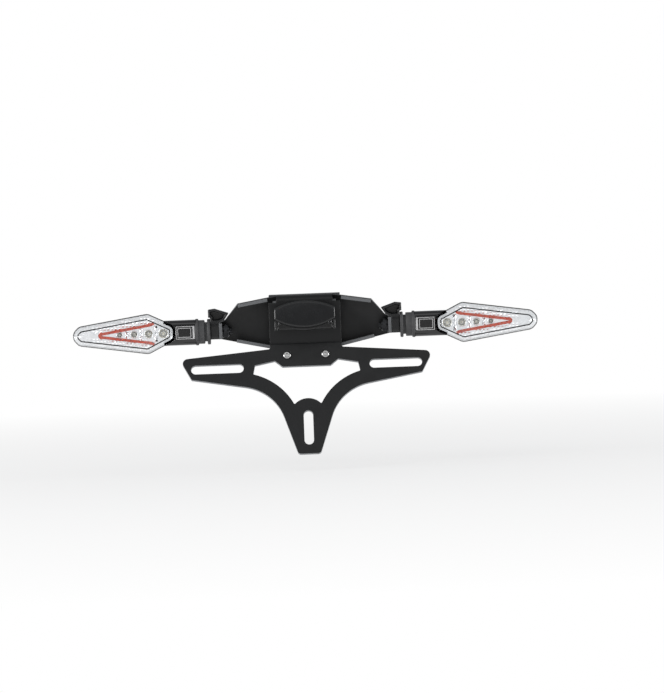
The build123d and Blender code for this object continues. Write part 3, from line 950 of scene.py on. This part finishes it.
@dataclass
class Arms:
    """The two folded channel arms and the screws that hold them to the hanger."""

    sheet: float = 2.5
    # Share of painted highlight on the arms' cut edges
    gleam: float = 0.42
    seat: float = 24.5
    nut_seat: float = 19.5
    screw_y: float = -32.0
    screw_z: tuple[float, float] = (-15.0, -33.0)
    screw: ButtonScrew = ButtonScrew(thread=5.0, length=11.0, head=9.5, crown=2.7, socket=3.0)
    nut: LockNut = LockNut(thread=5.0, flats=8.0, height=5.0)

    def spots(self, x: float, outward: bool) -> list[Spot]:
        """Gives the four fastener spots on both sides.

        Args:
            x: Distance from the middle in millimetres.
            outward: Whether the fastener points away from the middle.

        Returns:
            Spot and axis of each, in metres.
        """
        found = []
        for side in Side:
            axis = Vector((side.value if outward else -side.value, 0, 0))
            found += [(Vector((side.value * x, self.screw_y, z)) * MM, axis) for z in self.screw_z]
        return found

    def build(self) -> None:
        """Builds both arms and their fasteners."""
        for side in Side:
            NodeCopy(
                node=side.node("arm"),
                name=side.node("channel_arm"),
                finish=Finishes.powder,
                slot=Slot.POWDER,
                sharp_deg=SHEET_SHARP,
                sheet_mm=self.sheet,
                edge_highlight_share=self.gleam,
            ).build()
        FastenerRow("channel_screws", "arm_screws", self.screw, self.spots(self.seat, True)).build()
        FastenerRow("channel_nuts", "arm_nuts", self.nut, self.spots(self.nut_seat, False)).build()


@dataclass
class Stem:
    """Hollow threaded stem with its nut, washer, moulded adaptor and rubber boot."""

    side: Side
    start: float = 57.5
    length: float = 42.5
    major: float = 3.0
    minor: float = 2.55
    bore: float = 1.6
    pitch: float = 1.0
    turn_steps: int = 24
    ridge_sides: int = 4
    axis_y: float = -32.5
    wall: float = 65.0
    boot_round: float = 0.25
    boot_steps: int = 3
    nut: LockNut = LockNut(thread=6.0, flats=10.0, height=5.0)
    washer: Washer = Washer(outer=11.0, hole=6.2, sheet=0.8)

    @property
    def outward(self) -> Vector:
        """Direction from the middle to this side."""
        return Vector((self.side.value, 0, 0))

    def spot(self, x: float) -> Vector:
        """Returns the point of the stem's axis at a distance from the middle, in metres."""
        return Vector((self.side.value * x, self.axis_y, STEM_AXIS_Z)) * MM

    def thread(self) -> bpy.types.Object:
        """Winds a helical ridge round a hollow core.

        Returns:
            The stem with a plain mesh.
        """
        ridge_size = (self.major - self.minor) / 2
        values = {
            "Length": (self.length - 2 * ridge_size) * MM,
            "Mean": (self.minor + ridge_size) * MM,
            "Ridge": ridge_size * MM,
            "Turns": self.length / self.pitch,
        }
        tree = GeometryTree("stem_thread", values)
        spiral = {
            "Rotations": tree.inputs["Turns"],
            "Start Radius": tree.inputs["Mean"],
            "End Radius": tree.inputs["Mean"],
            "Height": tree.inputs["Length"],
        }
        helix = tree.add("GeometryNodeCurveSpiral", {"Resolution": self.turn_steps}, spiral)
        sides = {"Resolution": self.ridge_sides}
        profile = tree.add("GeometryNodeCurvePrimitiveCircle", sides, {"Radius": tree.inputs["Ridge"]})
        curves = {"Curve": helix[0], "Profile Curve": profile[0]}
        ridge = tree.add("GeometryNodeCurveToMesh", {"Fill Caps": True}, curves)
        lift = tree.add("ShaderNodeCombineXYZ", links={"Z": tree.inputs["Ridge"]})
        lifted = tree.add("GeometryNodeTransform", links={"Geometry": ridge[0], "Translation": lift[0]})
        both = tree.add("GeometryNodeJoinGeometry", links={0: tree.inputs["Geometry"]})
        tree.tree.links.new(lifted[0], both[0].node.inputs[0])
        tree.close(both[0], Finishes.zinc.material())
        core = Rings(hollow=True).circle(self.bore, 0).circle(self.minor, 0)
        core.circle(self.minor, self.length).circle(self.bore, self.length)
        piece = tree.run(core.build(self.side.node("threaded_stem")))
        turn = Vector((0, 0, 1)).rotation_difference(self.outward).to_matrix().to_4x4()
        piece.data.transform(Matrix.Translation(self.spot(self.start)) @ turn)
        return piece

    def build(self) -> None:
        """Builds the stem and everything on it up to the indicator."""
        node, zinc, dark = self.side.node, Finishes.zinc, Slot.DARK_STEEL
        dress(self.thread(), zinc, dark, [node("stem")])
        inward = -self.outward
        rest = [(self.spot(self.wall), inward)]
        FastenerRow(node("washer"), node("stem_washer"), self.washer, rest, zinc, dark).build()
        seat = [(self.spot(self.wall - self.washer.sheet), inward)]
        FastenerRow(node("nut"), node("stem_nut"), self.nut, seat, zinc, dark).build()
        NodeCopy(
            node=node("adaptor"),
            name=node("moulded_adaptor"),
            finish=Finishes.moulded,
            slot=Slot.MOULDED,
            sharp_deg=MOULDED_SHARP,
        ).build()
        NodeCopy(
            node=node("boot"),
            name=node("rubber_boot"),
            finish=Finishes.rubber,
            slot=Slot.RUBBER,
            round_mm=self.boot_round,
            steps=self.boot_steps,
        ).build()


@dataclass
class Indicator:
    """Long clear indicator: body, framed tile, lens and the optics under it."""

    side: Side
    root: float = 101.8
    tray_y: float = -37.4
    kite: Points = ((0.0, 5.5), (21.2, 15.9), (75.6, 7.7))
    guide: Points = ((19.0, 8.2), (60.3, 1.9))
    prism_along: float = 2.9
    prism_across: float = 2.0
    prism_height: float = 0.45
    prism_base: float = 0.67
    prism_tilt: float = 5.0
    prism_margin: float = 3.9
    prism_end: float = 64.5
    prism_cells: tuple[int, int] = (28, 15)
    prism_seed: int = 7
    cups: int = 4
    cup_first: float = 9.4
    cup_pitch: float = 11.4
    cup_radius: float = 3.6
    cup_shrink: float = 0.55
    bezel: float = 0.35
    bezel_steps: int = 48
    wire_steps: int = 12
    tile_x: float = 93.9
    tile_length: float = 14.6
    tile_height: float = 10.0
    tile_front: float = -39.5
    tile_rear: float = -40.3
    tile_round: float = 0.06
    line: float = 0.4
    line_rise: float = 0.15
    bar: float = 1.1
    inner_shift: float = 0.7
    inner_half: tuple[float, float] = (5.1, 3.5)

    @property
    def tray(self) -> Matrix:
        """Placement of the reflector's top: X along the lamp, Z towards the viewer."""
        side = self.side.value
        turn = Matrix(((side, 0, 0), (0, 0, -1), (0, side, 0))).to_4x4()
        return Matrix.Translation(Vector((side * self.root, self.tray_y, STEM_AXIS_Z)) * MM) @ turn

    def slope(self, line: Points) -> tuple[float, float]:
        """Gives a straight outline as a start height in metres and a rise.

        Args:
            line: Two points in millimetres.

        Returns:
            Height at the lamp's root and rise along the lamp.
        """
        (x0, z0), (x1, z1) = line
        rise = (z1 - z0) / (x1 - x0)
        return (z0 - x0 * rise) * MM, rise

    def prism_spots(self, tree: GeometryTree) -> Socket:
        """Lays a grid along the lamp and keeps its points on the free part of the reflector.

        Args:
            tree: Tree of the prisms.

        Returns:
            The points.
        """
        cells, size = self.prism_cells, tree.inputs
        length = tree.add("ShaderNodeMath", {"operation": "MULTIPLY", 1: float(cells[0])}, {0: size["Along"]})
        width = tree.add("ShaderNodeMath", {"operation": "MULTIPLY", 1: float(cells[1])}, {0: size["Across"]})
        counts = {"Vertices X": cells[0] + 1, "Vertices Y": cells[1] + 1}
        grid = tree.add("GeometryNodeMeshGrid", counts, {0: length[0], 1: width[0]})
        half = tree.add("ShaderNodeMath", {"operation": "MULTIPLY", 1: 0.5}, {0: length[0]})
        shift = tree.add("ShaderNodeCombineXYZ", links={"X": half[0]})
        moved = tree.add("GeometryNodeTransform", links={"Geometry": grid[0], "Translation": shift[0]})
        spot = tree.add("ShaderNodeSeparateXYZ", links={0: tree.add("GeometryNodeInputPosition")[0]})
        away = tree.add("ShaderNodeMath", {"operation": "ABSOLUTE"}, {0: spot["Y"]})
        heights = {}
        for line in ("Root", "Flank", "Guide"):
            links = {0: spot["X"], 1: size[f"{line} rise"], 2: size[f"{line} height"]}
            heights[line] = tree.add("ShaderNodeMath", {"operation": "MULTIPLY_ADD"}, links)[0]
        links = {0: heights["Root"], 1: heights["Flank"]}
        edge = tree.add("ShaderNodeMath", {"operation": "MINIMUM"}, links)
        inner = tree.add("ShaderNodeMath", {"operation": "SUBTRACT"}, {0: edge[0], 1: size["Margin"]})
        band = tree.add("ShaderNodeMath", {"operation": "ADD"}, {0: heights["Guide"], 1: size["Prism"]})
        more, less = {"operation": "GREATER_THAN"}, {"operation": "LESS_THAN"}
        outside = tree.add("FunctionNodeCompare", more, {0: away[0], 1: inner[0]})
        under = tree.add("FunctionNodeCompare", less, {0: away[0], 1: band[0]})
        past = tree.add("FunctionNodeCompare", more, {0: spot["X"], 1: size["End"]})
        either = tree.add("FunctionNodeBooleanMath", {"operation": "OR"}, {0: outside[0], 1: under[0]})
        drop = tree.add("FunctionNodeBooleanMath", {"operation": "OR"}, {0: either[0], 1: past[0]})
        return tree.add("GeometryNodeDeleteGeometry", {"domain": "POINT"}, {0: moved[0], 1: drop[0]})[0]

    def prisms(self) -> bpy.types.Object:
        """Covers the reflector outside the guide with small pyramids, up to a smooth tip.

        Returns:
            The prisms with a plain mesh.
        """
        values = {
            "Along": self.prism_along * MM,
            "Across": self.prism_across * MM,
            "Prism": self.prism_height * MM,
            "Margin": self.prism_margin * MM,
            "End": self.prism_end * MM,
            "Tilt": math.radians(self.prism_tilt),
            "Seed": self.prism_seed,
        }
        lines = {"Root": self.kite[:2], "Flank": self.kite[1:], "Guide": self.guide}
        for line, points in lines.items():
            values[f"{line} height"], values[f"{line} rise"] = self.slope(points)
        tree = GeometryTree("prism_field", values)
        tilt = tree.inputs["Tilt"]
        pyramid = {"Vertices": 4, "Radius Top": 0.0, "Radius Bottom": self.prism_base, "Depth": 1.0}
        prism = tree.add("GeometryNodeMeshCone", pyramid)
        quarter = {"Rotation": (0, 0, math.pi / 4)}
        square = tree.add("GeometryNodeTransform", quarter, {"Geometry": prism[0]})
        back = tree.add("ShaderNodeMath", {"operation": "MULTIPLY", 1: -1.0}, {0: tilt})
        least = tree.add("ShaderNodeCombineXYZ", links={"X": back[0], "Y": back[0]})
        most = tree.add("ShaderNodeCombineXYZ", links={"X": tilt, "Y": tilt})
        links = {0: least[0], 1: most[0], "Seed": tree.inputs["Seed"]}
        lean = tree.add("FunctionNodeRandomValue", {"data_type": "FLOAT_VECTOR"}, links)
        links = {"X": tree.inputs["Along"], "Y": tree.inputs["Across"], "Z": tree.inputs["Prism"]}
        size = tree.add("ShaderNodeCombineXYZ", links=links)
        spots = self.prism_spots(tree)
        links = {"Points": spots, "Instance": square[0], "Rotation": lean[0], "Scale": size[0]}
        prisms = tree.add("GeometryNodeInstanceOnPoints", links=links)
        tree.close(prisms[0], Finishes.silver.material())
        piece = tree.run(new_object(self.side.node("prism_field")))
        piece.data.transform(self.tray)
        return piece

    def bezels(self) -> bpy.types.Object:
        """Rings the lamp cups with half-round bezels that shrink towards the tip.

        Returns:
            The bezels with a plain mesh.
        """
        values = {
            "First": self.cup_first * MM,
            "Pitch": self.cup_pitch * MM,
            "Radius": (self.cup_radius + self.bezel) * MM,
            "Shrink": self.cup_shrink * MM,
            "Wire": self.bezel * MM,
            "Cups": self.cups,
        }
        tree = GeometryTree("cup_bezels", values)
        start = tree.add("ShaderNodeCombineXYZ", links={"X": tree.inputs["First"]})
        step = tree.add("ShaderNodeCombineXYZ", links={"X": tree.inputs["Pitch"]})
        links = {"Count": tree.inputs["Cups"], "Start Location": start[0], "Offset": step[0]}
        row = tree.add("GeometryNodeMeshLine", links=links)
        order = tree.add("GeometryNodeInputIndex")
        links = {0: order[0], 1: tree.inputs["Shrink"]}
        less = tree.add("ShaderNodeMath", {"operation": "MULTIPLY"}, links)
        links = {0: tree.inputs["Radius"], 1: less[0]}
        reach = tree.add("ShaderNodeMath", {"operation": "SUBTRACT"}, links)
        unit = {"Resolution": self.bezel_steps, "Radius": 1.0}
        ring = tree.add("GeometryNodeCurvePrimitiveCircle", unit)
        links = {"Points": row[0], "Instance": ring[0], "Scale": reach[0]}
        set_on = tree.add("GeometryNodeInstanceOnPoints", links=links)
        lines = tree.add("GeometryNodeRealizeInstances", links={"Geometry": set_on[0]})
        sides = {"Resolution": self.wire_steps}
        wire = tree.add("GeometryNodeCurvePrimitiveCircle", sides, {"Radius": tree.inputs["Wire"]})
        rings = tree.add("GeometryNodeCurveToMesh", links={"Curve": lines[0], "Profile Curve": wire[0]})
        soft = tree.add("GeometryNodeSetShadeSmooth", links={"Geometry": rings[0]})
        tree.close(soft[0], Finishes.silver.material())
        piece = tree.run(new_object(self.side.node("cup_bezels")))
        piece.data.transform(self.tray)
        return piece

    def boxes(self, name: str, strips: list[Strip], low: float, high: float) -> bpy.types.Object:
        """Builds slightly rounded blocks on the stalk's rear face.

        Args:
            name: Name of the object.
            strips: Ends along the lamp and across it, from the tile's middle, in millimetres.
            low: Y of the blocks' feet.
            high: Y of their tops.

        Returns:
            The blocks as one plain mesh.
        """
        work = bmesh.new()
        for u0, u1, v0, v1 in strips:
            size = Vector((u1 - u0, low - high, v1 - v0)) * MM
            along = self.side.value * (self.tile_x + (u0 + u1) / 2)
            middle = Vector((along, (low + high) / 2, STEM_AXIS_Z + (v0 + v1) / 2)) * MM
            place = Matrix.Translation(middle) @ Matrix.Diagonal((*size, 1.0))
            bmesh.ops.create_cube(work, size=1.0, matrix=place)
        corner = self.tile_round * MM
        bmesh.ops.bevel(work, geom=work.edges, offset=corner, segments=2, profile=0.5, affect="EDGES")
        return new_object(name, work)

    def tile(self) -> bpy.types.Object:
        """Returns the bare tile let into the stalk."""
        u, v = self.tile_length / 2, self.tile_height / 2
        return self.boxes(self.side.node("bare_tile"), [(-u, u, -v, v)], self.tile_front, self.tile_rear)

    def outline(self, middle: float, half: tuple[float, float]) -> list[Strip]:
        """Gives the four strips of a rectangular line.

        Args:
            middle: Its middle along the lamp.
            half: Half its length and half its height.

        Returns:
            Ends of each strip along the lamp and across it.
        """
        (u, v), edge = half, self.line / 2
        left, right = middle - u, middle + u
        rails = [(left, right, level - edge, level + edge) for level in (-v, v)]
        posts = [(end - edge, end + edge, edge - v, v - edge) for end in (left, right)]
        return rails + posts

    def tile_lines(self) -> bpy.types.Object:
        """Builds the bright lines on the tile: its border, a cross bar towards the boot and an inner frame.

        Returns:
            The lines with a plain mesh.
        """
        half = ((self.tile_length - self.line) / 2, (self.tile_height - self.line) / 2)
        foot = -half[0] + self.line / 2
        strips = self.outline(0.0, half) + self.outline(self.inner_shift, self.inner_half)
        strips.append((foot, foot + self.bar, self.line / 2 - half[1], half[1] - self.line / 2))
        top = self.tile_rear - self.line_rise
        return self.boxes(self.side.node("tile_lines"), strips, self.tile_rear, top)

    def build(self) -> None:
        """Builds the optics and dresses the shells."""
        node = self.side.node
        NodeCopy(node("indicator_body"), node("lamp_body"), Finishes.gloss, Slot.GLOSS).build()
        dress(self.tile(), Finishes.gloss, Slot.GLOSS, [node("badge_tile")])
        for trim in (self.tile_lines(), self.prisms(), self.bezels()):
            dress(trim, Finishes.silver, Slot.SILVER)
        coat_node(node("reflector"), Finishes.silver)
        coat_node(node("light_guide"), Finishes.guide)
        coat_node(node("lamp_board"), Finishes.board)
        coat_node(node("lamp_leds"), Finishes.chip)
        coat_node(node("lens"), Finishes.clear)


@dataclass(frozen=True)
class SoftBox:
    """A square soft light, in metres and watts."""

    name: str
    spot: tuple[float, float, float]
    size: float
    watts: float

    def build(self, target: Vector) -> None:
        """Hangs the light so that it faces the target.

        Args:
            target: Point that it faces.
        """
        data = bpy.data.lights.new(self.name, "AREA")
        data.size = self.size
        data.energy = self.watts
        lamp = bpy.data.objects.new(self.name, data)
        lamp.location = self.spot
        lamp.rotation_euler = (target - Vector(self.spot)).to_track_quat("-Z", "Y").to_euler()
        bpy.context.scene.collection.objects.link(lamp)


@dataclass
class Studio:
    """Plain pale room with soft light and the photograph's camera, in metres and degrees."""

    target: Vector = field(default_factory=lambda: Vector((0.02035, -0.049, -0.0411)))
    distance: float = 3.6
    frame_width: float = 0.518
    elevation: float = 1.5
    roll: float = 2.2
    sensor_mm: float = 36.0
    sight: float = 50.0
    fill: float = 0.36
    fill_tone: str = "#F2F4F7"
    floor_z: float = -0.136
    floor_half: float = 8.0
    floor_tone: str = "#F4F4F4"
    floor_glow: float = 0.65
    shadow_reach: tuple[float, float] = (0.2, 1.3)
    card_spot: tuple[float, float, float] = (0.0, -4.4, 0.1)
    card_half: tuple[float, float] = (1.5, 0.9)
    card_tone: tuple[float, float] = (0.22, 0.95)
    lamps: tuple[SoftBox, ...] = (
        SoftBox("key_box", (-1.8, -1.5, 0.85), size=1.2, watts=18.0),
        SoftBox("top_box", (0.0, -1.6, 1.55), size=1.2, watts=3.0),
        SoftBox("left_box", (-2.0, -0.35, 0.2), size=1.0, watts=26.0),
        SoftBox("right_box", (2.0, -0.35, 0.2), size=1.0, watts=26.0),
    )

    def seen(self, shading: Shading, mirrors: bool) -> Socket:
        """Tells whether a ray comes from the camera, a clear piece or a mirror.

        Args:
            shading: Tree of the floor or the world.
            mirrors: Whether mirrors count too.

        Returns:
            1 for such rays and 0 for the light on the object.
        """
        ray = shading.add("ShaderNodeLightPath")
        links = {0: ray["Is Camera Ray"], 1: ray["Is Transmission Ray"]}
        some = shading.add("ShaderNodeMath", {"operation": "MAXIMUM"}, links)[0]
        if not mirrors:
            return some
        links = {0: some, 1: ray["Is Glossy Ray"]}
        return shading.add("ShaderNodeMath", {"operation": "MAXIMUM"}, links)[0]

    def sheet(self, name: str, half: tuple[float, float], place: Matrix) -> tuple[bpy.types.Object, Shading]:
        """Makes a flat sheet of paper for the studio.

        Args:
            name: Name of the sheet.
            half: Half its two sides in metres.
            place: Its placement.

        Returns:
            The sheet and its material's empty tree.
        """
        work = bmesh.new()
        bmesh.ops.create_grid(work, x_segments=1, y_segments=1, size=1.0)
        bmesh.ops.transform(work, matrix=place @ Matrix.Diagonal((*half, 1.0, 1.0)), verts=work.verts)
        made = new_object(name, work)
        paper = bpy.data.materials.new(f"{name}_paper")
        made.data.materials.append(paper)
        return made, Shading(paper)

    def floor(self) -> None:
        """Lays a white floor that keeps the shadow near the object and melts into the background beyond."""
        half = (self.floor_half, self.floor_half)
        _, paper = self.sheet("studio_floor", half, Matrix.Translation((0, 0, self.floor_z)))
        away = paper.add("ShaderNodeVectorMath", {"operation": "LENGTH"}, {0: paper.place})["Value"]
        near, far = self.shadow_reach
        spread = {"From Min": near, "From Max": far, "To Min": self.floor_glow, "To Max": 1.0}
        glow = paper.add("ShaderNodeMapRange", spread, {"Value": away})[0]
        links = {0: self.seen(paper, True), 1: glow}
        share = paper.add("ShaderNodeMath", {"operation": "MULTIPLY"}, links)
        matt = paper.add("ShaderNodeBsdfDiffuse", {"Color": linear(self.floor_tone)})
        bright = paper.add("ShaderNodeEmission", {"Color": WHITE, "Strength": 1.0})
        both = paper.add("ShaderNodeMixShader", links={0: share[0], 1: matt[0], 2: bright[0]})
        paper.add("ShaderNodeOutputMaterial", links={"Surface": both[0]})

    def card(self) -> None:
        """Stands a card behind the camera, grey in reflections, to give flat bright metal contrast."""
        upright = Matrix.Translation(self.card_spot) @ Matrix.Rotation(math.radians(-90), 4, "X")
        card, paper = self.sheet("studio_card", self.card_half, upright)
        clear = paper.add("ShaderNodeLightPath")["Is Transmission Ray"]
        tone = {"To Min": self.card_tone[0], "To Max": self.card_tone[1]}
        level = paper.add("ShaderNodeMapRange", tone, {"Value": clear})
        grey = paper.add("ShaderNodeEmission", {"Color": WHITE}, {"Strength": level[0]})
        paper.add("ShaderNodeOutputMaterial", links={"Surface": grey[0]})
        card.visible_camera = False
        card.visible_diffuse = False
        card.visible_shadow = False

    def world(self) -> None:
        """Fills the room with even light and a white background."""
        room = bpy.data.worlds.new("studio_room")
        bpy.context.scene.world = room
        air = Shading(room)
        fill = air.add("ShaderNodeBackground", {"Color": linear(self.fill_tone), "Strength": self.fill})
        white = air.add("ShaderNodeBackground", {"Color": WHITE, "Strength": 1.0})
        links = {0: self.seen(air, False), 1: fill[0], 2: white[0]}
        both = air.add("ShaderNodeMixShader", links=links)
        air.add("ShaderNodeOutputWorld", links={"Surface": both[0]})

    def camera(self) -> None:
        """Sets the long-lens camera straight behind the object, with the photograph's slight roll."""
        data = bpy.data.cameras.new("camera")
        data.sensor_fit = "HORIZONTAL"
        data.sensor_width = self.sensor_mm
        data.lens = self.sensor_mm * self.distance / self.frame_width
        data.clip_end = self.sight
        lift, roll = math.radians(self.elevation), math.radians(self.roll)
        ahead = Vector((0, math.cos(lift), -math.sin(lift)))
        level, upright = Vector((1, 0, 0)), Vector((0, math.sin(lift), math.cos(lift)))
        right = level * math.cos(roll) - upright * math.sin(roll)
        above = level * math.sin(roll) + upright * math.cos(roll)
        camera = bpy.data.objects.new("camera", data)
        turn = Matrix((right, above, -ahead)).transposed().to_4x4()
        camera.matrix_world = Matrix.Translation(self.target - ahead * self.distance) @ turn
        bpy.context.scene.collection.objects.link(camera)
        bpy.context.scene.camera = camera

    def build(self) -> None:
        """Builds the room, the lamps and the camera."""
        self.floor()
        self.world()
        for lamp in self.lamps:
            lamp.build(self.target)
        self.card()
        self.camera()
        bpy.context.scene.view_settings.view_transform = "Standard"


def main() -> None:
    """Builds every piece in order, then the studio."""
    logging.basicConfig(level=logging.INFO, format="%(message)s")
    Hanger().build()
    PlateLight().build()
    Arms().build()
    for side in Side:
        Stem(side).build()
        Indicator(side).build()
    Studio().build()
    bpy.context.view_layer.update()


if __name__ == "__main__":
    main()
